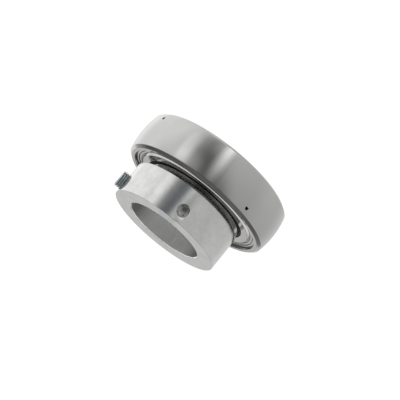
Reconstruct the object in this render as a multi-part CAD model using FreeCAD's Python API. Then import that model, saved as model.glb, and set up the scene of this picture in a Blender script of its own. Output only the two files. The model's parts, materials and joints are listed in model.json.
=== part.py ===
import FreeCAD, Part
import math
import os

# A radial insert ball bearing for a 35 mm shaft, locked by an eccentric collar.
# Millimetres and degrees. The origin is the centre of the flat back face, and +Z runs along
# the bearing's axis, out through the locking collar. Angles are measured from +X, about +Z.

# Rings
shaft_bore = 35.0
outside_diameter = 72.0
outer_width = 19.0
inner_width = 25.5
outer_chamfer = 1.1
inner_chamfer = 0.5
neck_below_pitch = 3.25

# Cam on the inner ring's front end. It takes this share of what stands out of the outer ring,
# and the neck takes the rest.
cam_share = 0.6
cam_wall = 4.0
cam_chamfer = 0.4
eccentricity = 0.93

# Balls and raceways. A ball takes this share of the height between the bore and the outside.
ball_share = 0.60065
ball_count = 9
raceway_clearance = 0.02
groove_ease = 0.224

# Cage, snapped over the balls from the back
cage_inner_gap = 0.5
cage_outer_gap = 0.6
cage_seal_gap = 0.4
cage_horn_height = 2.0
cage_notch_radius = 2.2
pocket_clearance = 0.12

# Lubrication holes, drilled through the outer ring at each side of the raceway
oil_hole_diameter = 1.5
oil_hole_seat_gap = 1.0
oil_hole_front_angle = -122.2
oil_hole_back_angle = -26.8

# Seals, one at each side: a formed steel cover, a rubber lip and a flat steel backing washer.
# Heights are measured outwards from the cover's rim, and distances from the seat's wall inwards.
seat_wall = 4.05
seat_step = 1.85
seat_ball_gap = 1.244
seat_clearance = 0.01
sheet_thickness = 0.5
rim_gap = 0.05
cover_rim_width = 0.5
cover_bead_distance = 1.05
cover_bead_height = 0.6
cover_groove_height = 0.02
cover_slope_distance = 2.65
cover_slope_height = 0.08
cover_slope_width = 1.3
cover_flat_height = 0.95
cover_neck_gap = 1.0
backing_neck_gap = 0.7
lip_root_gap = 0.9
lip_cover_margin = 0.5
lip_edge_height = 0.7
lip_edge_width = 0.4
lip_clearance = 0.03

# Locking collar
collar_wall = 4.5
collar_height = 15.6
collar_bore_clearance = 0.1
collar_edge_chamfer = 0.3
collar_bore_chamfer = 0.4
collar_lift = 0.3
recess_clearance = 0.05
cam_end_gap = 0.2

# Set screw with a hexagon socket and a cup point, in the collar's threaded hole
thread_diameter = 8.0
thread_clearance = 0.05
hole_mouth_chamfer = 0.4
screw_length = 8.0
screw_chamfer = 0.5
screw_proud = 2.75
screw_from_top = 5.46
screw_angle = -2.6
socket_across_flats = 4.0
socket_depth = 3.5
cup_diameter = 4.0
cup_depth = 1.0
hexagon_sides = 6

# Blind hole for a drift pin, which turns the collar until its cam grips
drift_hole_diameter = 5.7
drift_hole_depth = 3.0
drift_hole_chamfer = 0.7
drift_hole_turn = -90.0
drill_point_angle = 118.0

# Sizes that follow from those above
mid_plane = outer_width / 2
outside_radius = outside_diameter / 2
bore_radius = shaft_bore / 2
section_height = outside_radius - bore_radius
ball_radius = ball_share * section_height / 2
pitch_radius = bore_radius + section_height / 2
inner_raceway_radius = pitch_radius - ball_radius - raceway_clearance
outer_raceway_radius = pitch_radius + ball_radius + raceway_clearance
groove_radius = ball_radius + groove_ease
neck_radius = pitch_radius - neck_below_pitch
cam_length = cam_share * (inner_width - outer_width)
cam_radius = bore_radius + cam_wall
neck_end = inner_width - cam_length
seat_radius = outside_radius - seat_wall
land_radius = seat_radius - seat_step
seat_half = ball_radius + seat_ball_gap
seat_depth = mid_plane - seat_half
oil_hole_offset = seat_half - oil_hole_seat_gap
seal_outer_radius = seat_radius - seat_clearance
backing_top = seat_depth - sheet_thickness
rim_depth = backing_top - rim_gap - sheet_thickness
collar_radius = cam_radius + collar_wall
collar_bottom = neck_end + collar_lift
recess_depth = inner_width + cam_end_gap - collar_bottom
collar_top = collar_bottom + collar_height
collar_centre = FreeCAD.Vector(2 * eccentricity, 0, 0)
cam_centre = FreeCAD.Vector(eccentricity, 0, 0)
screw_height = collar_top - screw_from_top
drift_hole_angle = screw_angle + drift_hole_turn

ORIGIN = FreeCAD.Vector(0, 0, 0)
UP = FreeCAD.Vector(0, 0, 1)
FULL_TURN = 360.0


def point(radius, z):
    """A point of a turned piece's section, which lies in the XZ plane."""
    return FreeCAD.Vector(radius, 0, z)


def line(start, end):
    return Part.LineSegment(start, end).toShape()


def arc(start, middle, end):
    return Part.Arc(start, middle, end).toShape()


def turned(edges):
    """A solid turned about the bearing's axis from the closed section that the edges make."""
    section = Part.Face(Part.Wire(edges))
    return section.revolve(ORIGIN, UP, FULL_TURN)


def turned_polygon(corners):
    closed = corners + corners[:1]
    return turned([line(a, b) for a, b in zip(closed, closed[1:])])


def radial_direction(angle):
    turn = math.radians(angle)
    return FreeCAD.Vector(math.cos(turn), math.sin(turn), 0)


def groove_half_width(raceway_radius, edge_radius):
    """Half the width of a raceway groove where it opens in the ring's land."""
    depth = groove_radius - abs(raceway_radius - edge_radius)
    return math.sqrt(groove_radius ** 2 - depth ** 2)


def outer_ring():
    """The outer ring: a spherical outside, a deep groove inside and a seat for each seal."""
    face_half = outer_width / 2
    edge_half = face_half - outer_chamfer
    edge_radius = math.sqrt(outside_radius ** 2 - edge_half ** 2)
    face_radius = math.sqrt(outside_radius ** 2 - face_half ** 2) - outer_chamfer
    groove_half = groove_half_width(outer_raceway_radius, land_radius)
    corners = [(edge_radius, edge_half), (face_radius, face_half), (seat_radius, face_half),
               (seat_radius, seat_half), (land_radius, seat_half), (land_radius, groove_half)]
    front = [point(radius, mid_plane + half) for radius, half in corners]
    back = [point(radius, mid_plane - half) for radius, half in corners]
    edges = [line(a, b) for a, b in zip(front, front[1:])]
    edges.append(arc(front[-1], point(outer_raceway_radius, mid_plane), back[-1]))
    edges += [line(b, a) for a, b in reversed(list(zip(back, back[1:])))]
    edges.append(arc(back[0], point(outside_radius, mid_plane), front[0]))
    ring = turned(edges)
    for side, angle in ((1, oil_hole_front_angle), (-1, oil_hole_back_angle)):
        direction = radial_direction(angle)
        start = direction * pitch_radius + UP * (mid_plane + side * oil_hole_offset)
        length = outside_radius - pitch_radius
        ring = ring.cut(Part.makeCylinder(oil_hole_diameter / 2, length, start, direction))
    return ring


def inner_ring():
    """The inner ring: flush at the back, with a cam on its front end that is off centre."""
    groove_half = groove_half_width(inner_raceway_radius, neck_radius)
    low = point(neck_radius, mid_plane - groove_half)
    high = point(neck_radius, mid_plane + groove_half)
    edges = [line(point(bore_radius, 0), point(neck_radius - inner_chamfer, 0)),
             line(point(neck_radius - inner_chamfer, 0), point(neck_radius, inner_chamfer)),
             line(point(neck_radius, inner_chamfer), low),
             arc(low, point(inner_raceway_radius, mid_plane), high),
             line(high, point(neck_radius, neck_end)),
             line(point(neck_radius, neck_end), point(bore_radius, neck_end)),
             line(point(bore_radius, neck_end), point(bore_radius, 0))]
    ring = turned(edges)
    straight = cam_length - cam_chamfer
    cam = Part.makeCylinder(cam_radius, straight, cam_centre + UP * neck_end)
    nose_start = cam_centre + UP * (neck_end + straight)
    nose = Part.makeCone(cam_radius, cam_radius - cam_chamfer, cam_chamfer, nose_start)
    ring = ring.fuse([cam, nose])
    bore = Part.makeCylinder(bore_radius, inner_width)
    mouth = bore_radius + inner_chamfer
    back_mouth = Part.makeCone(mouth, bore_radius, inner_chamfer)
    front_mouth = Part.makeCone(bore_radius, mouth, inner_chamfer, UP * (inner_width - inner_chamfer))
    return ring.cut([bore, back_mouth, front_mouth]).removeSplitter()


def ball_centre(index):
    angle = FULL_TURN * index / ball_count
    return radial_direction(angle) * pitch_radius + UP * mid_plane


def ball(index):
    centre = ball_centre(index)
    return Part.makeSphere(ball_radius, centre)


def cage():
    """A one-piece crown cage: a band with ball pockets, open to the front between its horns."""
    inner = neck_radius + cage_inner_gap
    outer = land_radius - cage_outer_gap
    bottom = seat_depth + cage_seal_gap
    top = mid_plane + cage_horn_height
    corners = [(inner, bottom), (outer, bottom), (outer, top), (inner, top)]
    band = turned_polygon([point(radius, z) for radius, z in corners])
    cutters = []
    for index in range(ball_count):
        cutters.append(Part.makeSphere(ball_radius + pocket_clearance, ball_centre(index)))
        between = radial_direction(FULL_TURN * (index + 0.5) / ball_count)
        cutters.append(Part.makeCylinder(cage_notch_radius, outside_radius, UP * top, between))
    return band.cut(cutters)


def seal_section(side, corners):
    """Section points of a seal piece, from radius and depth below the face at one side."""
    if side == "front":
        return [point(radius, outer_width - depth) for radius, depth in corners]
    return [point(radius, depth) for radius, depth in corners]


def seal_cover(side):
    """The outer washer: flat, then sloped into a groove, a raised bead and a pressed-in rim."""
    inner = neck_radius + cover_neck_gap
    rim = seal_outer_radius - cover_rim_width
    bead = seat_radius - cover_bead_distance
    slope = seat_radius - cover_slope_distance
    flat = slope - cover_slope_width
    turn_height = (cover_groove_height + cover_bead_height) / 2
    turn_radius = bead - (rim - bead)
    groove_middle = (slope + turn_radius) / 2
    outline = [(inner, cover_flat_height), (flat, cover_flat_height), (slope, cover_slope_height),
               (groove_middle, cover_groove_height), (turn_radius, turn_height),
               (bead, cover_bead_height), (rim, 0), (seal_outer_radius, 0)]
    top = [(radius, rim_depth - height) for radius, height in outline]
    upper = seal_section(side, top)
    lower = seal_section(side, [(radius, depth + sheet_thickness) for radius, depth in top])
    edges = []
    for row in (upper, lower):
        edges.append(line(row[0], row[1]))
        edges.append(line(row[1], row[2]))
        edges.append(arc(row[2], row[3], row[4]))
        edges.append(arc(row[4], row[5], row[6]))
        edges.append(line(row[6], row[7]))
    edges.append(line(upper[0], lower[0]))
    edges.append(line(upper[-1], lower[-1]))
    return turned(Part.__sortEdges__(edges))


def seal_lip(side):
    """The rubber ring held between the two washers, with its lip running on the neck."""
    edge = neck_radius + lip_clearance
    root = neck_radius + lip_root_gap
    outer = seat_radius - cover_slope_distance - cover_slope_width - lip_cover_margin
    top = rim_depth - cover_flat_height + sheet_thickness
    edge_depth = rim_depth - lip_edge_height
    corners = [(outer, top), (root, top), (edge, edge_depth),
               (edge, edge_depth + lip_edge_width), (root, backing_top), (outer, backing_top)]
    return turned_polygon(seal_section(side, corners))


def seal_backing(side):
    """The flat inner washer, which seats against the outer ring's land."""
    inner = neck_radius + backing_neck_gap
    corners = [(inner, backing_top), (seal_outer_radius, backing_top),
               (seal_outer_radius, seat_depth), (inner, seat_depth)]
    return turned_polygon(seal_section(side, corners))


def locking_collar():
    """The collar, with its off-centre recess, threaded hole and blind drift-pin hole."""
    edge = collar_edge_chamfer
    inner = bore_radius + collar_bore_clearance
    corners = [(inner, collar_bottom), (collar_radius - edge, collar_bottom),
               (collar_radius, collar_bottom + edge), (collar_radius, collar_top - edge),
               (collar_radius - edge, collar_top), (inner + collar_bore_chamfer, collar_top),
               (inner, collar_top - collar_bore_chamfer)]
    collar = turned_polygon([point(radius, z) for radius, z in corners])
    collar.translate(collar_centre)
    recess_radius = cam_radius + recess_clearance
    recess = Part.makeCylinder(recess_radius, recess_depth, cam_centre + UP * collar_bottom)
    return collar.cut([recess, threaded_hole(), drift_hole()])


def threaded_hole():
    direction = radial_direction(screw_angle)
    centre = collar_centre + UP * screw_height
    radius = thread_diameter / 2
    hole = Part.makeCylinder(radius, collar_radius, centre, direction)
    sagitta = collar_radius - math.sqrt(collar_radius ** 2 - radius ** 2)
    cone_length = hole_mouth_chamfer + sagitta
    cone_start = centre + direction * (collar_radius - cone_length)
    return hole.fuse(Part.makeCone(radius, radius + cone_length, cone_length, cone_start, direction))


def drift_hole():
    """The blind hole, its drill point and its chamfered mouth, as one cutting body."""
    direction = radial_direction(drift_hole_angle)
    centre = collar_centre + UP * screw_height
    radius = drift_hole_diameter / 2
    point_length = radius / math.tan(math.radians(drill_point_angle / 2))
    floor = collar_radius - drift_hole_depth
    hole = Part.makeCylinder(radius, drift_hole_depth, centre + direction * floor, direction)
    tip = centre + direction * (floor - point_length)
    drill_point = Part.makeCone(0, radius, point_length, tip, direction)
    mouth_start = centre + direction * (collar_radius - drift_hole_chamfer)
    mouth = Part.makeCone(radius, radius + drift_hole_chamfer, drift_hole_chamfer, mouth_start, direction)
    return hole.fuse([drill_point, mouth])


def set_screw():
    """The set screw, with its thread left plain, chamfered ends, hexagon socket and cup point."""
    radius = thread_diameter / 2 - thread_clearance
    small = radius - screw_chamfer
    straight = screw_length - 2 * screw_chamfer
    tip = Part.makeCone(small, radius, screw_chamfer)
    shank = Part.makeCylinder(radius, straight, UP * screw_chamfer)
    head = Part.makeCone(radius, small, screw_chamfer, UP * (screw_chamfer + straight))
    body = tip.fuse([shank, head]).removeSplitter()
    corner_radius = socket_across_flats / 2 / math.cos(math.pi / hexagon_sides)
    corners = []
    for index in range(hexagon_sides + 1):
        corner = radial_direction(FULL_TURN * index / hexagon_sides) * corner_radius
        corners.append(corner + UP * (screw_length - socket_depth))
    socket = Part.Face(Part.makePolygon(corners)).extrude(UP * socket_depth)
    cup = Part.makeCone(cup_diameter / 2, 0, cup_depth)
    body = body.cut([socket, cup])
    direction = radial_direction(screw_angle)
    inner_end = collar_radius + screw_proud - screw_length
    body.Placement = FreeCAD.Placement(collar_centre + UP * screw_height + direction * inner_end,
                                       FreeCAD.Rotation(UP, direction))
    return body


pieces = {
    "outer_ring": outer_ring(),
    "inner_ring": inner_ring(),
    "cage": cage(),
    "locking_collar": locking_collar(),
    "set_screw": set_screw(),
}
for number in range(ball_count):
    pieces["ball_" + str(number + 1)] = ball(number)
for end in ("front", "back"):
    pieces["seal_cover_" + end] = seal_cover(end)
    pieces["seal_lip_" + end] = seal_lip(end)
    pieces["seal_backing_" + end] = seal_backing(end)

os.makedirs("parts", exist_ok=True)
for name, shape in pieces.items():
    shape.exportStep("parts/" + name + ".step")
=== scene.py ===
import json
import math

import bmesh
import bpy
import numpy as np
from mathutils import Matrix, Vector


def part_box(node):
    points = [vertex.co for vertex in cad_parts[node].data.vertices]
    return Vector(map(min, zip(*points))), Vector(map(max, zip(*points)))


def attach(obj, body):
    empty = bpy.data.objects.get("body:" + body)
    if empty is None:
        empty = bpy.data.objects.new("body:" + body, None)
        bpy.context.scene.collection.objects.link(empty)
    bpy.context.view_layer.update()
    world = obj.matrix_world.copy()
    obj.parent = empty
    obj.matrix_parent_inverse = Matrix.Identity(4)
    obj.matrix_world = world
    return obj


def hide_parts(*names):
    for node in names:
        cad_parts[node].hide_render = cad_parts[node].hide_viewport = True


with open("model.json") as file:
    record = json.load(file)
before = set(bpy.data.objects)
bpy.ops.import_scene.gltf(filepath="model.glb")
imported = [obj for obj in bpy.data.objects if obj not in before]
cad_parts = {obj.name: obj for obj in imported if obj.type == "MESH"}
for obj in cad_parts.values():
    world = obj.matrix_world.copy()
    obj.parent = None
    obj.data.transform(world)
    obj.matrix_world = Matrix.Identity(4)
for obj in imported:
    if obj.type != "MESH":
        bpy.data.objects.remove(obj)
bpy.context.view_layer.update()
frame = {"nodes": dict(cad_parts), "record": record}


# Outer ring
# A ring of hardened bearing steel, turned and then ground. Its outside is part of a sphere, so
# that it can swivel in its housing, and its inside has the deep groove that the balls run in.

MM = 0.001
TURN = 2 * math.pi
FINE_STEPS = 720
ARC_STEPS = 5
OUTSIDE_POINTS = 41
RACEWAY_POINTS = 25
SHARP_ANGLE = 35.0
MERGE_DISTANCE = 1e-7
BLEND = 0.1 * MM

ring_low, ring_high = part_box("outer_ring")
ring_width = ring_high.z - ring_low.z
ring_middle = (ring_high.z + ring_low.z) / 2
ring_radius = (ring_high.x - ring_low.x) / 2
ball_low, ball_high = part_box("ball_1")
ball_radius = (ball_high.z - ball_low.z) / 2
pitch_radius = (ball_low.x + ball_high.x) / 2
raceway_gap = 0.02 * MM
groove_radius = ball_radius + 0.224 * MM
seat_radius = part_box("seal_cover_front")[1].x + 0.01 * MM
seat_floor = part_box("seal_backing_front")[0].z - ring_middle
seat_step = 1.85 * MM
ring_chamfer = 1.1 * MM
sphere_rounding = 0.08 * MM
face_rounding = 0.18 * MM
seat_rounding = 0.12 * MM
oil_hole_radius = 0.75 * MM
oil_hole_from_seat = 1.0 * MM
oil_hole_flare = 0.1 * MM
oil_hole_steps = 32
oil_hole_angles = {1: -122.2, -1: -26.8}


def rounded(corners, radii):
    """The outline through the corners, each rounded to its radius. The arc's centre is on the
    corner's bisector, at radius / sin(half the corner's angle), and the arc turns evenly between
    the two points where it meets the sides. A corner with no radius stays one point."""
    least_divisor, least_sweep = 1e-9, 1e-6
    corners = np.asarray(corners, float)
    radii = np.broadcast_to(np.asarray(radii, float), len(corners))[:, None]
    before = np.roll(corners, 1, 0) - corners
    after = np.roll(corners, -1, 0) - corners
    before /= np.linalg.norm(before, axis=1, keepdims=True)
    after /= np.linalg.norm(after, axis=1, keepdims=True)
    half = np.arccos(np.clip((before * after).sum(1, keepdims=True), -1, 1)) / 2
    bisector = (before + after) / np.maximum(2 * np.cos(half), least_divisor)
    centre = corners + bisector * radii / np.sin(half)
    start = corners + before * radii / np.tan(half) - centre
    end = corners + after * radii / np.tan(half) - centre
    sweep = np.maximum(math.pi - 2 * half, least_sweep)[:, None]
    share = np.linspace(0, 1, ARC_STEPS + 1)[None, :, None]
    swing = np.sin((1 - share) * sweep) * start[:, None] + np.sin(share * sweep) * end[:, None]
    arcs = centre[:, None] + swing / np.sin(sweep)
    sharp = radii[:, 0] == 0
    arcs[sharp] = corners[sharp][:, None]
    keep = np.ones(arcs.shape[:2], bool)
    keep[sharp, 1:] = False
    return arcs[keep]


def for_each_point(values, radii):
    """The corners' values, each repeated for every point that rounded makes of its corner."""
    return np.repeat(values, np.where(radii > 0, ARC_STEPS + 1, 1))


def arc(centre, radius, start, end, count):
    """Points evenly along an arc: centre + radius * (cos angle, sin angle), angles in radians."""
    angle = np.linspace(start, end, count)
    return np.stack([centre[0] + radius * np.cos(angle), centre[1] + radius * np.sin(angle)], 1)


def turned(outline, steps=FINE_STEPS, shift=0.0):
    """Corners and faces of a closed outline turned about an upright axis: a point of the outline
    at angle a is (shift + radius * cos a, radius * sin a, height). shift may differ by point."""
    radius, height = np.asarray(outline, float).T
    shift = np.broadcast_to(np.asarray(shift, float), radius.shape)
    if (radius * np.roll(height, -1) - np.roll(radius, -1) * height).sum() < 0:
        radius, height, shift = radius[::-1], height[::-1], shift[::-1]
    angle = np.arange(steps) * TURN / steps
    x = shift[:, None] + radius[:, None] * np.cos(angle)
    y = radius[:, None] * np.sin(angle)
    z = np.broadcast_to(height[:, None], x.shape)
    vertices = np.stack([x, y, z], -1).reshape(-1, 3)
    row, column = np.meshgrid(np.arange(len(radius)), np.arange(steps), indexing="ij")
    next_row, next_column = (row + 1) % len(radius), (column + 1) % steps
    faces = [row * steps + column, row * steps + next_column,
             next_row * steps + next_column, next_row * steps + column]
    return vertices, np.stack(faces, -1).reshape(-1, 4)


def mesh_from(name, vertices, faces):
    """A mesh with those corners and faces."""
    mesh = bpy.data.meshes.new(name)
    mesh.from_pydata(vertices.tolist(), [], faces.tolist())
    return mesh


def in_scene(name, mesh):
    """An object in the scene that shows the mesh."""
    made = bpy.data.objects.new(name, mesh)
    bpy.context.scene.collection.objects.link(made)
    return made


def finished(name, mesh, crease=SHARP_ANGLE):
    """A piece with that mesh. Its edges sharper than the crease stay sharp, and the rest is
    shaded smooth, evenly over large faces and small ones."""
    mesh.shade_smooth()
    mesh.set_sharp_from_angle(angle=math.radians(crease))
    piece = in_scene(name, mesh)
    shading = piece.modifiers.new("even_shading", "WEIGHTED_NORMAL")
    shading.keep_sharp = True
    return piece


def piece_from(name, vertices, faces):
    """A finished piece with those corners and faces."""
    mesh = mesh_from(name, vertices, faces)
    mesh.update()
    return finished(name, mesh)


def laid_along(name, vertices, faces, place, direction):
    """A closed mesh that was worked out upright at the origin, with doubled corners merged and
    its faces outwards, turned to point along direction and moved to its place."""
    mesh = mesh_from(name, vertices, faces)
    turn = Vector((0, 0, 1)).rotation_difference(Vector(direction)).to_matrix().to_4x4()
    shape = bmesh.new()
    shape.from_mesh(mesh)
    bmesh.ops.remove_doubles(shape, verts=shape.verts, dist=MERGE_DISTANCE)
    bmesh.ops.recalc_face_normals(shape, faces=shape.faces)
    shape.transform(Matrix.Translation(place) @ turn)
    shape.to_mesh(mesh)
    shape.free()
    return mesh


def drill(outline, place, direction, steps):
    """A closed cutting body: the outline turned about its own axis, then laid along direction."""
    return laid_along("drill", *turned(outline, steps), place, direction)


def drilled(name, solid, drills):
    """The solid (corners, faces) with each drill cut out of it, as one finished piece."""
    work = in_scene("blank", mesh_from(name, *solid))
    tools = []
    for mesh in drills:
        tool = in_scene("drill", mesh)
        cut = work.modifiers.new("cut", "BOOLEAN")
        cut.operation = "DIFFERENCE"
        cut.solver = "EXACT"
        cut.object = tool
        tools.append(tool)
    bpy.context.view_layer.update()
    evaluated = work.evaluated_get(bpy.context.evaluated_depsgraph_get())
    result = bpy.data.meshes.new_from_object(evaluated)
    result.name = name
    for spare in [work] + tools:
        bpy.data.objects.remove(spare)
    return finished(name, result)


def radial(angle):
    """The level direction at that many degrees from +X."""
    return np.array([math.cos(math.radians(angle)), math.sin(math.radians(angle)), 0.0])


half_width = ring_width / 2
land_radius = seat_radius - seat_step
edge_half = half_width - ring_chamfer
edge_angle = math.asin(edge_half / ring_radius)
face_radius = math.sqrt(ring_radius ** 2 - half_width ** 2) - ring_chamfer
raceway_centre = pitch_radius + ball_radius + raceway_gap - groove_radius
groove_angle = math.acos((land_radius - raceway_centre) / groove_radius)
outside = arc((0, 0), ring_radius, -edge_angle, edge_angle, OUTSIDE_POINTS)
raceway = arc((raceway_centre, 0), groove_radius, groove_angle, -groove_angle, RACEWAY_POINTS)
front_side = [(face_radius, half_width), (seat_radius, half_width), (seat_radius, seat_floor),
              (land_radius, seat_floor)]
back_side = [(radius, -height) for radius, height in reversed(front_side)]
section = np.concatenate([outside, front_side, raceway, back_side])
rounding = np.zeros(len(section))
rounding[[0, len(outside) - 1]] = sphere_rounding
rounding[[len(outside), -1]] = face_rounding
rounding[[len(outside) + 1, -2]] = seat_rounding
outer_outline = rounded(section, rounding) + (0, ring_middle)

oil_holes = []
for side, angle in oil_hole_angles.items():
    height = ring_middle + side * (seat_floor - oil_hole_from_seat)
    rim = math.sqrt(ring_radius ** 2 - (height - ring_middle) ** 2)
    bit = [(0, pitch_radius), (oil_hole_radius, pitch_radius),
           (oil_hole_radius, rim - oil_hole_flare),
           (oil_hole_radius + 2 * oil_hole_flare, rim + oil_hole_flare), (0, rim + oil_hole_flare)]
    oil_holes.append(drill(bit, (0, 0, height), radial(angle), oil_hole_steps))

outer_ring = drilled("outer_ring_steel", turned(outer_outline), oil_holes)
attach(outer_ring, "outer")
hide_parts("outer_ring")


class Value:
    """A number that varies over a surface. Plain arithmetic on it adds the Math nodes."""

    def __init__(self, finish, socket):
        self.finish = finish
        self.socket = socket

    def math(self, operation, *others):
        """The result of a Math node on this value and the others."""
        made = self.finish.node("ShaderNodeMath", {"operation": operation}, [self, *others])
        return made.value(0)

    def __add__(self, other):
        return self.math("ADD", other)

    def __mul__(self, other):
        return self.math("MULTIPLY", other)

    def __sub__(self, other):
        return self.math("SUBTRACT", other)

    def __rsub__(self, other):
        return self * -1.0 + other

    def __neg__(self):
        return self * -1.0

    def __truediv__(self, other):
        return self.math("DIVIDE", other)

    __radd__ = __add__
    __rmul__ = __mul__

    def away_from(self, other):
        """How far this value is from another, on either side."""
        return (self - other).math("ABSOLUTE")

    def step(self, low, high):
        """From 0 at low to 1 at high, easing in and out. low may be the greater of the two."""
        made = self.finish.node("ShaderNodeMapRange", {"interpolation_type": "SMOOTHSTEP"},
                                {"Value": self, "From Min": low, "From Max": high})
        return made.value("Result")

    def ramp(self, stops):
        """Straight lines through the stops, each a place from 0 to 1 and its grey value."""
        made = self.finish.node("ShaderNodeValToRGB", {"stops": stops}, {"Fac": self})
        return made.value("Color")


class Made:
    """A node that has been added, with its outputs as values."""

    def __init__(self, finish, node):
        self.finish = finish
        self.node = node

    def value(self, name):
        return Value(self.finish, self.node.outputs[name])


class Finish:
    """The nodes of one finish, in a material's or the world's node tree."""

    # A Mix node keeps sockets for numbers and vectors too. These are its two colours and theirs.
    MIX_COLOURS = (6, 7)
    MIX_RESULT = 2

    def __init__(self, tree):
        self.tree = tree
        self.tree.nodes.clear()

    def node(self, kind, settings=None, sockets=None):
        """Adds a node: its settings first, then a value or a link for each socket that is named,
        or for the first sockets in their order where sockets is a list."""
        made = self.tree.nodes.new(kind)
        settings = dict(settings or {})
        stops = settings.pop("stops", None)
        for name, value in settings.items():
            setattr(made, name, value)
        if stops:
            ramp = made.color_ramp
            ramp.interpolation = "LINEAR"
            while len(ramp.elements) < len(stops):
                ramp.elements.new(0.5)
            for element, (place, grey) in zip(ramp.elements, stops):
                element.position = place
                element.color = (grey, grey, grey, 1)
        pairs = enumerate(sockets) if isinstance(sockets, list) else (sockets or {}).items()
        for name, value in pairs:
            self.fill(made.inputs[name], value)
        return Made(self, made)

    def fill(self, socket, value):
        """Links a varying value to the socket, or sets a fixed one on it."""
        if isinstance(value, Value):
            self.tree.links.new(value.socket, socket)
        else:
            socket.default_value = value

    def where(self):
        """The point on the piece, in metres from the middle of the bearing's back face."""
        return self.node("ShaderNodeTexCoord").value("Object")

    def parts(self, vector):
        """A vector's x, y and z."""
        split = self.node("ShaderNodeSeparateXYZ", {}, {"Vector": vector})
        return [split.value(axis) for axis in "XYZ"]

    def drawn_out(self, x, y, z, share):
        """The point with its height cut to that share, so that noise is drawn out along z."""
        sockets = {"X": x, "Y": y, "Z": z * share}
        return self.node("ShaderNodeCombineXYZ", {}, sockets).value("Vector")

    def noise(self, scale, detail, rough, along=None, where=None):
        """Soft noise from 0 to 1, with scale cells in a metre or in a radian: along a single
        value, or through space."""
        sockets = {"Scale": scale, "Detail": detail, "Roughness": rough}
        if along is not None:
            settings, sockets["W"] = {"noise_dimensions": "1D"}, along
        else:
            settings, sockets["Vector"] = {"noise_dimensions": "3D"}, where
        return self.node("ShaderNodeTexNoise", settings, sockets).value("Fac")

    def mix(self, share, first, second):
        """A colour between two others."""
        made = self.node("ShaderNodeMix", {"data_type": "RGBA"}, {"Factor": share})
        for index, colour in zip(self.MIX_COLOURS, (first, second)):
            self.fill(made.node.inputs[index],
                      colour if isinstance(colour, Value) else (*colour, 1))
        return made.value(self.MIX_RESULT)

    def bump(self, height, distance):
        """The normal of a surface with that height, times distance in metres."""
        sockets = {"Height": height, "Distance": distance, "Strength": 1.0}
        return self.node("ShaderNodeBump", {}, sockets).value("Normal")

    def surface(self, **sockets):
        """The Principled shader at the end, with its values or links."""
        named = {name.replace("_", " "): value for name, value in sockets.items()}
        shader = self.node("ShaderNodeBsdfPrincipled", {}, named)
        self.node("ShaderNodeOutputMaterial", {}, {"Surface": shader.value("BSDF")})


def new_finish(name):
    """A material of that name, and its nodes."""
    material = bpy.data.materials.new(name)
    material.use_nodes = True
    return material, Finish(material.node_tree)


def coat(piece, material):
    """Gives the whole piece this material."""
    piece.data.materials.clear()
    piece.data.materials.append(material)


def distance(across, along):
    """How far a point is from an axis, from its offsets in two directions at right angles."""
    return (across * across + along * along).math("SQRT")


def ground_steel(name, dark, light, roughness, lines, wander, drag=0.0, edge=None, sunk_shade=None,
                 within=None):
    """Ground steel: fine lines run round the piece, so light is drawn out along the axis. The
    height is noise along radius + z, which crosses every turned face, plus a faint waviness round
    the axis and a drag of soft patches, drawn out along the axis. lines, wander and drag are
    heights in metres. edge is a tint for the front's chamfer and face and one for the back's, and
    the height from the middle where they take over. sunk is a tint for what lies nearer to the
    middle than its height, and within one for what lies inside its radius."""
    spread = 0.06
    material, finish = new_finish(name)
    where = finish.where()
    x, y, z = finish.parts(where)
    radius = distance(x, y)
    fine = finish.noise(scale=4200.0, detail=3.0, rough=0.6, along=radius + z)
    wavy = finish.noise(scale=9.0, detail=3.0, rough=0.6, along=y.math("ARCTAN2", x))
    cloud = finish.noise(scale=160.0, detail=3.0, rough=0.55, where=where)
    height = fine * lines + wavy * wander
    if drag:
        patches = finish.noise(scale=420.0, detail=2.0, rough=0.6,
                               where=finish.drawn_out(x, y, z, 0.3))
        height = height + patches * drag
    tone = finish.mix(cloud * 0.7 + fine * 0.3, dark, light)
    off_middle = z - ring_middle
    # On the outer ring the back's tint is darker, a painted shade.
    if edge:
        front, back, start = edge
        for tint, outwards in ((front, off_middle), (back, -off_middle)):
            tone = finish.mix(outwards.step(start, start + BLEND), tone, tint)
    # The sunk tint is painted shade in the cover's recesses.
    if sunk_shade:
        tint, start = sunk_shade
        tone = finish.mix(off_middle.math("ABSOLUTE").step(start + BLEND, start), tone, tint)
    # On the outer ring this dark tint is painted shade in the seat and the groove.
    if within:
        tint, end = within
        tone = finish.mix(radius.step(end + BLEND, end), tone, tint)
    finish.surface(Base_Color=tone, Metallic=1.0,
                   Roughness=cloud * spread + fine * spread + (roughness - spread),
                   Normal=finish.bump(height, 1.0))
    return material


# Painted shade: the back's chamfer and face take a darker tint than the front's, and everything
# inside the seat's radius, the seat's wall and the groove, takes a dark tint.
ring_steel = ground_steel("ground_ring_steel", (0.595, 0.593, 0.582), (0.63, 0.628, 0.616),
                          roughness=0.12, lines=0.0022 * MM, wander=0.012 * MM, drag=0.012 * MM,
                          edge=((0.62, 0.6, 0.585), (0.4, 0.385, 0.375), edge_half),
                          within=((0.36, 0.355, 0.35), seat_radius + 0.03 * MM))
coat(outer_ring, ring_steel)


# Balls
# Nine balls of through-hardened steel, lapped to a mirror finish. They fill most of the way round
# the groove and roll between the rings.


def grained(name, dark, light, scale, detail, rough, smoothest, spread, metallic=0.0, relief=0.0):
    """A finish with one soft grain. It sets the tone between dark and light, the roughness from
    the smoothest up by spread, and a height of relief metres."""
    material, finish = new_finish(name)
    grain = finish.noise(scale, detail, rough, where=finish.where())
    sockets = {"Base_Color": finish.mix(grain, dark, light), "Metallic": metallic,
               "Roughness": grain * spread + smoothest}
    if relief:
        sockets["Normal"] = finish.bump(grain, relief)
    finish.surface(**sockets)
    return material


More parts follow.
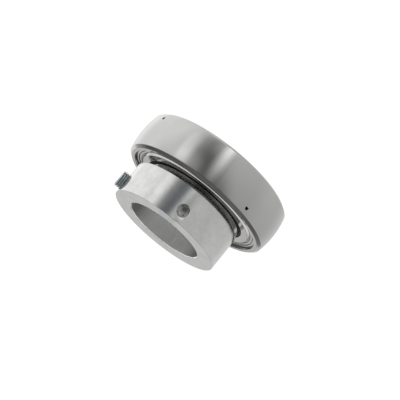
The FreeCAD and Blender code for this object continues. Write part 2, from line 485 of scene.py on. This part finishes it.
ball_steel = grained("lapped_ball_steel", (0.72, 0.72, 0.73), (0.8, 0.8, 0.81),
                     scale=500.0, detail=2.0, rough=0.5, smoothest=0.04, spread=0.04, metallic=1.0)
for name, node in frame["nodes"].items():
    if name.startswith("ball_"):
        coat(node, ball_steel)


# Cage
# A one-piece crown of glass-fibre reinforced polyamide, moulded and snapped over the balls from
# the back. It keeps them evenly apart.

polyamide = grained("moulded_polyamide", (0.6, 0.55, 0.42), (0.74, 0.7, 0.58),
                    scale=900.0, detail=4.0, rough=0.6, smoothest=0.4, spread=0.2,
                    relief=0.02 * MM)
coat(frame["nodes"]["cage"], polyamide)


# Inner ring
# Bearing steel like the outer ring. The neck shows between the seal and the collar, and the front
# end is a cam, turned off centre, that the collar's recess grips.

inner_low, inner_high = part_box("inner_ring")
bore_radius = frame["record"]["mounts"][0]["dims"]["r_mm"] * MM
neck_radius = inner_high.y
collar_low, collar_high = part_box("locking_collar")
collar_shift = (collar_low.x + collar_high.x) / 2
cam_shift = collar_shift / 2
cam_radius = bore_radius + 4.0 * MM
neck_top = collar_low.z - 0.3 * MM
inner_chamfer = 0.5 * MM
cam_chamfer = 0.4 * MM

inner_race_centre = pitch_radius - ball_radius - raceway_gap + groove_radius
inner_angle = math.acos((inner_race_centre - neck_radius) / groove_radius)
inner_raceway = arc((inner_race_centre, ring_middle), groove_radius,
                    math.pi + inner_angle, math.pi - inner_angle, RACEWAY_POINTS)
lower = [(bore_radius, inner_low.z + inner_chamfer), (bore_radius + inner_chamfer, inner_low.z),
         (neck_radius - inner_chamfer, inner_low.z), (neck_radius, inner_low.z + inner_chamfer)]
upper = [(neck_radius, neck_top), (cam_radius, neck_top), (cam_radius, inner_high.z - cam_chamfer),
         (cam_radius - cam_chamfer, inner_high.z), (bore_radius + inner_chamfer, inner_high.z),
         (bore_radius, inner_high.z - inner_chamfer)]
section = np.concatenate([lower, inner_raceway, upper])
rounding = np.zeros(len(section))
rounding[:4] = 0.12 * MM
rounding[-6:] = np.array([0.15, 0.15, 0.1, 0.1, 0.1, 0.1]) * MM
off_centre = np.zeros(len(section))
off_centre[-5:-2] = cam_shift
inner_ring = piece_from("inner_ring_steel", *turned(rounded(section, rounding),
                                                    shift=for_each_point(off_centre, rounding)))
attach(inner_ring, "inner")
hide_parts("inner_ring")
neck_steel = ground_steel("ground_neck_steel", (0.62, 0.615, 0.6), (0.7, 0.695, 0.68),
                          roughness=0.11, lines=0.0004 * MM, wander=0.001 * MM,
                          within=((0.9, 0.9, 0.88), bore_radius + 0.05 * MM))
coat(inner_ring, neck_steel)


# Seals
# One at each side: a steel cover pressed from sheet, a black nitrile rubber lip that runs on the
# neck, and a flat washer behind. The cover is pressed into its seat in the outer ring.

SEAL_STEPS = 480

sheet = 0.5 * MM
cover_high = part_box("seal_cover_front")[1].z
cover_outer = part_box("seal_cover_front")[1].x
cover_inner = neck_radius + 1.25 * MM
rim_height = cover_high - 0.95 * MM
slope_radius = seat_radius - 2.65 * MM
flat_radius = slope_radius - 1.3 * MM


def cover_outline():
    """The cover's section at the front: flat, then a slope down to two flat-topped ridges, each
    with a narrow groove before it, and a flat rim. The ridges' distances are from the slope's
    foot, and their heights from the rim, in millimetres. Underneath it is plain."""
    ridges = [(-0.42, -0.15), (-0.02, -0.15), (0.14, 0.32), (0.8, 0.32), (0.95, -0.2),
              (1.22, -0.2), (1.38, 0.5), (2.12, 0.5), (2.28, 0.0)]
    top = [(cover_inner, cover_high), (flat_radius, cover_high)]
    top += [(slope_radius + away * MM, rim_height + height * MM) for away, height in ridges]
    under = [(cover_outer, rim_height - sheet), (slope_radius, rim_height - sheet + 0.05 * MM),
             (flat_radius, cover_high - sheet), (cover_inner, cover_high - sheet)]
    section = np.array(top + [(cover_outer, rim_height)] + under)
    rounding = np.full(len(section), 0.07 * MM)
    rounding[:4] = np.array([0.12, 0.3, 0.15, 0.1]) * MM
    rounding[[-3, -2]] = 0.0
    return rounded(section, rounding)


def mirrored(outline):
    """The same outline at the back of the bearing."""
    return outline * (1, -1) + (0, 2 * ring_middle)


# Painted shade: what lies more than 0.9 mm under the cover's flat, the rim, the grooves and the
# washer behind, takes a dark tint.
cover_steel = ground_steel("pressed_cover_steel", (0.6, 0.598, 0.59), (0.66, 0.658, 0.65),
                           roughness=0.08, lines=0.0003 * MM, wander=0.004 * MM,
                           sunk_shade=((0.27, 0.265, 0.26), cover_high - 0.9 * MM - ring_middle))
rubber = grained("black_nitrile_rubber", (0.008, 0.008, 0.009), (0.02, 0.02, 0.02),
                 scale=1500.0, detail=3.0, rough=0.6, smoothest=0.45, spread=0.25,
                 relief=0.01 * MM)

lip_low, lip_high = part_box("seal_lip_front")
lip_edge = neck_radius + 0.03 * MM
lip_root = neck_radius + 0.9 * MM
lip_top = cover_high - sheet
lip_crest = rim_height + 0.7 * MM
lip_land = 0.4 * MM
lip_section = [(lip_high.x, lip_top), (lip_root, lip_top), (lip_edge, lip_crest),
               (lip_edge, lip_crest - lip_land), (lip_root, lip_low.z), (lip_high.x, lip_low.z)]
lip_rounding = (0, 0.15 * MM, 0.1 * MM, 0.1 * MM, 0.2 * MM, 0)

for end, place in (("front", np.asarray), ("back", mirrored)):
    cover = piece_from("seal_cover_steel_" + end, *turned(place(cover_outline()), SEAL_STEPS))
    lip_outline = place(rounded(lip_section, lip_rounding))
    lip = piece_from("seal_lip_rubber_" + end, *turned(lip_outline, SEAL_STEPS))
    for piece, node, slot, material in ((cover, "seal_cover_", "seal_steel", cover_steel),
                                        (lip, "seal_lip_", "seal_rubber", rubber)):
        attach(piece, "outer")
        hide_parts(node + end)
        coat(piece, material)
    coat(frame["nodes"]["seal_backing_" + end], cover_steel)


# Locking collar
# A plain steel collar, turned, drilled and thinly zinc coated. Its recess is off centre, so that
# a turn wedges it on the cam. It has a blind hole for the drift pin that turns it.

HOLE_STEPS = 96
DRILL_POINT_ANGLE = 118

collar_radius = (collar_high.y - collar_low.y) / 2
collar_bore = bore_radius + 0.1 * MM
recess_radius = cam_radius + 0.05 * MM
recess_top = inner_high.z + 0.2 * MM
screw_height = collar_high.z - 5.46 * MM
screw_angle = -2.6
drift_angle = screw_angle - 90
thread_radius = 4.0 * MM
thread_chamfer = 0.4 * MM
drift_radius = 2.72 * MM
drift_depth = 3.0 * MM
drift_chamfer = 0.42 * MM
drill_point = drift_radius / math.tan(math.radians(DRILL_POINT_ANGLE / 2))
bore_chamfer = 0.45 * MM
bore_chamfer_width = 0.84 * bore_chamfer

section = [(collar_bore, collar_high.z - bore_chamfer),
           (collar_bore + bore_chamfer_width, collar_high.z), (collar_radius, collar_high.z),
           (collar_radius, collar_low.z), (recess_radius, collar_low.z),
           (recess_radius, recess_top), (collar_bore, recess_top)]
rounding = np.array([0.06, 0.06, 0.15, 0.12, 0.2, 0.1, 0.2]) * MM
off_centre = np.array([collar_shift] * 4 + [cam_shift] * 2 + [collar_shift])
collar_solid = turned(rounded(section, rounding), shift=for_each_point(off_centre, rounding))

collar_axis = np.array([collar_shift, 0, screw_height])
sagitta = collar_radius - math.sqrt(collar_radius ** 2 - thread_radius ** 2)
mouth = thread_chamfer + sagitta
thread_bit = [(0, 0), (thread_radius, 0), (thread_radius, collar_radius - mouth),
              (thread_radius + 2 * mouth, collar_radius + mouth), (0, collar_radius + mouth)]
drift_floor = collar_radius - drift_depth
countersink = 0.6 * drift_chamfer
drift_bit = rounded([(0, drift_floor - drill_point), (drift_radius, drift_floor),
                     (drift_radius, collar_radius - countersink),
                     (drift_radius + 2 * drift_chamfer, collar_radius + countersink),
                     (0, collar_radius + countersink)], (0, 0.1 * MM, 0.08 * MM, 0, 0))
collar = drilled("locking_collar_steel", collar_solid,
                 [drill(thread_bit, collar_axis, radial(screw_angle), HOLE_STEPS),
                  drill(drift_bit, collar_axis, radial(drift_angle), HOLE_STEPS)])
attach(collar, "collar")
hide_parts("locking_collar")


def from_hole_axis(from_centre, y, z, angle):
    """How far a point is from the axis of the collar's hole at that angle. from_centre is its x
    from the collar's centre."""
    direction = radial(angle)
    aside = y * float(direction[0]) - from_centre * float(direction[1])
    return distance(aside, z - screw_height)


def zinc_coated(name):
    """The collar's thin zinc coat over turned steel. It is cloudy, a little rough, and rougher and
    greener where no tool finished it: inside the bore, which is within bore_edge of the collar's
    axis, and inside the drift hole, which is within hole_edge of that hole's axis. The hole is
    blind, but its finish also takes in the wall of the bore behind it."""
    material, finish = new_finish(name)
    where = finish.where()
    x, y, z = finish.parts(where)
    from_centre = x - collar_shift
    centre_distance = distance(from_centre, y)
    ahead = radial(drift_angle)
    along = from_centre * float(ahead[0]) + y * float(ahead[1])
    hole_distance = from_hole_axis(from_centre, y, z, drift_angle)

    hole_edge, bore_edge = drift_radius + 0.03 * MM, collar_bore + 0.05 * MM
    front = along.step(0.0, 1.0 * MM)
    in_hole = front * (1 - hole_distance.step(hole_edge - BLEND, hole_edge))
    on_floor = front * (1 - hole_distance.step(hole_edge - 0.6 * MM, hole_edge - 0.3 * MM))
    in_bore = 1 - centre_distance.step(bore_edge - 0.04 * MM, bore_edge)
    on_chamfer = 1 - centre_distance.step(collar_bore + 0.8 * bore_chamfer,
                                          collar_bore + 0.9 * bore_chamfer)

    lines = finish.noise(scale=3600.0, detail=3.0, rough=0.6, along=centre_distance + z)
    cloud = finish.noise(scale=250.0, detail=3.0, rough=0.55, where=where)
    grain = finish.noise(scale=1300.0, detail=3.0, rough=0.6, where=where)
    drag = finish.noise(scale=500.0, detail=3.0, rough=0.6,
                        where=finish.drawn_out(x, y, z, 0.2))

    turn = y.math("ARCTAN2", from_centre) * (360 / TURN)
    # Painted reflection: the collar's side that faces -Y is darkened near -89 degrees round and
    # tinted blue near -78 degrees, as a dark band reflected in it.
    painted_dark_reflection = turn.away_from(-89.0).step(7.0, 2.0) * 0.2
    painted_blue_reflection = turn.away_from(-78.0).step(9.0, 4.0) * 0.17
    # Painted shade: the bore's wall is darkened more than 30 degrees round from 97 degrees, so
    # that only its side towards +Y stays light.
    bore_side_shade = turn.away_from(97.0).step(30.0, 70.0) * 0.7
    outside = finish.mix((cloud * 0.65 + grain * 0.35).step(0.3, 0.7),
                         (0.73, 0.735, 0.72), (0.84, 0.845, 0.835))
    outside = finish.mix(painted_blue_reflection, finish.mix(painted_dark_reflection, outside, (0, 0, 0)), (0, 0.04, 0.25))
    # Painted highlight: the bore's chamfer takes a near white tint.
    outside = finish.mix(on_chamfer, outside, (0.97, 0.98, 0.97))
    bare = finish.mix((grain * 0.4 + drag * 0.6).step(0.2, 0.8),
                      (0.84, 0.86, 0.84), (0.98, 0.99, 0.98))
    bare = finish.mix(bore_side_shade, bare, (0.05, 0.055, 0.05))
    pit = finish.mix(grain.step(0.3, 0.7), (0.3, 0.3, 0.295), (0.86, 0.86, 0.85))
    tone = finish.mix(in_hole, finish.mix(in_bore, outside, bare), pit)

    height = (lines * (0.0018 * MM) + cloud * (0.008 * MM) + drag * (in_bore * (0.03 * MM))
              + grain * (on_floor * (0.06 * MM) + in_bore * (0.02 * MM) + 0.002 * MM))
    finish.surface(Base_Color=tone, Metallic=0.93 - in_bore * 0.63,
                   Roughness=in_bore * 0.27 + in_hole * 0.2 + cloud * 0.04 + grain * 0.04 + 0.12,
                   Normal=finish.bump(height, 1.0))
    return material


coat(collar, zinc_coated("zinc_coated_collar_steel"))


# Set screw
# An 8 mm screw with a 1 mm thread, a hexagon socket and a cup point, in hardened steel with a
# bluish zinc plate. It is driven through the collar on to the shaft.

ROUND_STEPS = 144
ROWS_A_TURN = 16
SCREW_SHARP_ANGLE = 40.0
THREAD_START = 7 / 16
HALF_CREST = 0.125
FLANK = 0.75
ROOT_CURVE = 1.3

pitch = 1.0 * MM
screw_length = 8.0 * MM
screw_proud = 2.75 * MM
screw_chamfer = 0.5 * MM
screw_crest = thread_radius - 0.05 * MM
thread_depth = 0.58 * MM
socket_flat = 2.0 * MM
socket_depth = 3.5 * MM
socket_chamfer = 0.15 * MM
socket_cone = 0.6 * MM
cup_radius = 2.0 * MM
cup_depth = 1.0 * MM


def threaded_shank():
    """Corners and faces of the screw, upright with its point at the origin. Each row of corners
    climbs by one pitch a turn, so it follows the thread, and is held between the two ends. The
    radius is the crest less the thread's depth times a wave of the row, flat at the crest and
    round at the root, and never outside the end chamfers. HALF_CREST and FLANK are shares of half
    a pitch. The rows then run on over the end face, into the hexagon, whose radius is flat /
    cos(angle from the middle of its side), and at the other end into the cup."""
    angle = np.arange(ROUND_STEPS) * TURN / ROUND_STEPS
    row_count = int(round((screw_length / pitch + 1) * ROWS_A_TURN)) + 1
    rows = np.arange(row_count)[:, None] / ROWS_A_TURN
    height = np.clip((rows - 1 + angle / TURN) * pitch, 0, screw_length)
    from_crest = np.abs((rows - THREAD_START) % 1.0 - 0.5) * 2
    flank = np.clip((from_crest - HALF_CREST) / FLANK, 0, 1)
    cut = thread_depth * np.sin(flank * math.pi / 2) ** ROOT_CURVE
    near_end = np.minimum(height, screw_length - height)
    limit = screw_crest - screw_chamfer + np.minimum(near_end, screw_chamfer)
    shank = np.where(near_end > 0, np.minimum(screw_crest - cut, limit), limit)

    sixth = TURN / 6
    hexagon = socket_flat / np.cos((angle + sixth / 2) % sixth - sixth / 2)
    start_rows = [(hexagon * 0, cup_depth), (hexagon * 0 + cup_radius, 0.0)]
    end_rows = [(hexagon + socket_chamfer, screw_length), (hexagon, screw_length - socket_chamfer),
                (hexagon, screw_length - socket_depth),
                (hexagon * 0, screw_length - socket_depth - socket_cone)]
    radii = np.concatenate([[row[0] for row in start_rows], shank, [row[0] for row in end_rows]])
    level = np.concatenate([[hexagon * 0 + row[1] for row in start_rows], height,
                            [hexagon * 0 + row[1] for row in end_rows]])
    vertices = np.stack([radii * np.cos(angle), radii * np.sin(angle), level], -1).reshape(-1, 3)

    first, last = len(start_rows), len(start_rows) + len(rows) - 1
    row, column = np.meshgrid(np.arange(len(radii)), np.arange(ROUND_STEPS), indexing="ij")
    on_thread = (column == ROUND_STEPS - 1) & (row >= first) & (row <= last)
    next_row = np.where(on_thread, np.minimum(row + ROWS_A_TURN, last), row)
    here = row * ROUND_STEPS + column
    beside = next_row * ROUND_STEPS + (column + 1) % ROUND_STEPS
    faces = [here[:-1], beside[:-1], beside[1:], here[1:]]
    return vertices, np.stack(faces, -1).reshape(-1, 4)


screw_direction = radial(screw_angle)
inner_end = collar_axis + screw_direction * (collar_radius + screw_proud - screw_length)
screw_mesh = laid_along("set_screw_steel", *threaded_shank(), inner_end, screw_direction)
set_screw = finished("set_screw_steel", screw_mesh, SCREW_SHARP_ANGLE)
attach(set_screw, "screw")
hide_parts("set_screw")


def zinc_plated(name):
    """The screw's plate: bluish and pale on the crests, within thread_depth of screw_crest from
    the screw's axis, and darker in the roots and the socket, which is painted shade."""
    material, finish = new_finish(name)
    where = finish.where()
    x, y, z = finish.parts(where)
    from_screw = from_hole_axis(x - collar_shift, y, z, screw_angle)
    on_crest = from_screw.step(screw_crest - thread_depth * 0.9, screw_crest - 0.12 * MM)
    cloud = finish.noise(scale=700.0, detail=3.0, rough=0.6, where=where)
    plate = finish.mix(cloud, (0.84, 0.9, 0.91), (0.93, 0.98, 0.99))
    # Painted shade: the roots and the socket take the dark tint.
    finish.surface(Base_Color=finish.mix(on_crest, (0.38, 0.425, 0.44), plate),
                   Metallic=0.7, Roughness=cloud * 0.08 + 0.38)
    return material


coat(set_screw, zinc_plated("bluish_zinc_plate"))


# Studio
# A white sweep that only the camera sees, and round it the light of a white tent, bright to the
# right and dimmer to the left. It is open and dark above, but for a bright arch over the camera.

SWEEP_STEPS = 96

sweep_radius = 3.0
turn_radius = 1.0
floor_edge = arc((sweep_radius - turn_radius, turn_radius), turn_radius, -math.pi / 2, 0, 12)
dome = arc((0, turn_radius), sweep_radius, 0, math.pi / 2, 24)[1:]
dome[-1, 0] = 0
sweep_line = np.concatenate([[(0, 0)], floor_edge, dome])


def open_sweep(line, steps=SWEEP_STEPS):
    """The line turned about the upright axis, facing inwards: a point of it at angle a is
    (radius * cos a, radius * sin a, height)."""
    angle = np.arange(steps) * TURN / steps
    x = line[:, :1] * np.cos(angle)
    y = line[:, :1] * np.sin(angle)
    z = np.broadcast_to(line[:, 1:], x.shape)
    row, column = np.meshgrid(np.arange(len(line) - 1), np.arange(steps), indexing="ij")
    beside = (column + 1) % steps
    faces = [row * steps + column, (row + 1) * steps + column, (row + 1) * steps + beside,
             row * steps + beside]
    return np.stack([x, y, z], -1).reshape(-1, 3), np.stack(faces, -1).reshape(-1, 4)


floor = piece_from("studio_sweep", *open_sweep(sweep_line))
floor.visible_glossy = False
floor.visible_diffuse = False
floor.visible_transmission = False
floor.visible_shadow = False
white, white_finish = new_finish("white_sweep")
white_finish.surface(Base_Color=(0.05, 0.05, 0.05, 1), Roughness=0.9,
                     Emission_Color=(1, 1, 1, 1), Emission_Strength=1.0)
coat(floor, white)


def by_azimuth(stops):
    """Ramp stops from pairs of degrees round the object and light, 0 at -Y and 90 at +X."""
    return [(degrees / 360 + 0.5, light) for degrees, light in stops]


low_light = by_azimuth([
    (-180, 0.66), (-150, 0.67), (-120, 0.57), (-90, 0.575), (-60, 0.51), (-30, 0.525),
    (-12, 0.535), (10, 0.3), (30, 0.395), (45, 0.575), (60, 0.655), (75, 0.65),
    (90, 0.69), (110, 0.955), (130, 0.945), (150, 1.09), (165, 0.9), (180, 0.66)])
high_light = by_azimuth([
    (-180, 0.6), (-165, 0.44), (-150, 0.22), (-130, 0.13), (-80, 0.19), (-60, 0.12),
    (-40, 0.17), (-15, 0.05), (0, 0.03), (15, 0.05), (40, 0.14), (66, 0.11),
    (110, 0.13), (138, 0.11), (152, 0.44), (165, 0.54), (180, 0.6)])
zenith_light = 0.14
least_light = 0.02
light_a_degree = -0.0026

world = bpy.data.worlds.new("tent_light")
bpy.context.scene.world = world
world.use_nodes = True
tent = Finish(world.node_tree)
east, north, up = tent.parts(tent.node("ShaderNodeTexCoord").value("Generated"))
azimuth = east.math("ARCTAN2", -north) * (360 / TURN)
elevation = up.math("ARCSINE") * (360 / TURN)


def card(across, level, half_width, half_height, soft, lean, amount):
    """A white card, or a gap where the amount is negative, centred on an azimuth and an elevation
    in degrees. It fades over soft times its half width and half height each side of its edge,
    and leans by so many degrees of azimuth for each degree of elevation."""
    side = (azimuth - across - (elevation - level) * lean).math("ABSOLUTE") / half_width
    rise = elevation.away_from(level) / half_height
    return (1 - side.step(1 - soft, 1 + soft)) * (1 - rise.step(1 - soft, 1 + soft)) * amount


low_cards = [
    (41.7, -25.5, 18.6, 18.7, 0.69, 0.19, -0.37),
    (4.2, -52.9, 7.0, 48.1, 0.82, 0.0, 0.7),
    (-44.9, 54.1, 19.3, 60.0, 0.94, -0.76, -0.34),
    (53.0, -9.7, 8.6, 20.7, 0.72, -0.07, 0.38),
    (15.4, 3.6, 9.9, 33.0, 0.44, -0.08, -0.06),
    (86.4, -30.0, 11.9, 18.6, 0.86, 0.4, 0.2),
    (46.8, -27.4, 31.2, 42.4, 0.59, 1.04, 0.21)]
around = azimuth / 360 + 0.5
low = around.ramp(low_light) + (elevation + 15) * light_a_degree
for low_card in low_cards:
    low = low + card(*low_card)

# The arch's elevation is 62 degrees over the camera, and falls off with the square and the fourth
# power of the azimuth.
square = azimuth * azimuth
arch = square * (square * -3.6e-8 - 0.0018) + azimuth * 0.006 + 62
arch_card = card(0, arch, half_width=150, half_height=7.0, soft=0.15, lean=0.0, amount=0.8)
above = elevation.step(9.5, 15.5)
zenith = elevation.step(62.0, 80.0)
high = around.ramp(high_light) * (1 - zenith) + zenith * zenith_light + arch_card
light = (low * (1 - above) + high * above).math("MAXIMUM", least_light)
background = tent.node("ShaderNodeBackground", {}, {"Color": light, "Strength": 1.0})
tent.node("ShaderNodeOutputWorld", {}, {"Surface": background.value("Background")})


# Camera
# It stands 0.8 m off, 15.6 degrees above the plane of the rings, and is rolled so that the collar
# points down to the left, as in the photograph.

camera_elevation = math.radians(15.609)
camera_roll = math.radians(140.78)
camera_yaw = math.radians(0.13632)
camera_pitch = math.radians(0.51683)
camera_distance = 0.796
camera_lens = 167.4


def turned_about(vector, axis, angle):
    """The vector turned about the axis by that angle in radians."""
    return Matrix.Rotation(angle, 3, axis) @ vector


forward = Vector((0, math.cos(camera_elevation), -math.sin(camera_elevation)))
right = Vector((1, 0, 0))
upward = right.cross(forward)
stand = Vector((0, 0, ring_middle)) - forward * camera_distance
forward = turned_about(forward, upward, camera_yaw)
right = turned_about(right, upward, camera_yaw)
forward = turned_about(forward, right, camera_pitch)
upward = turned_about(upward, right, camera_pitch)
right = turned_about(right, forward, camera_roll)
upward = turned_about(upward, forward, camera_roll)
camera = bpy.data.objects.new("camera", bpy.data.cameras.new("camera"))
camera.data.lens = camera_lens
camera.data.clip_end = 20.0
bpy.context.scene.collection.objects.link(camera)
facing = Matrix((right, upward, -forward)).transposed().to_4x4()
camera.matrix_world = Matrix.Translation(stand) @ facing
bpy.context.scene.camera = camera
bpy.context.scene.view_settings.view_transform = "Standard"
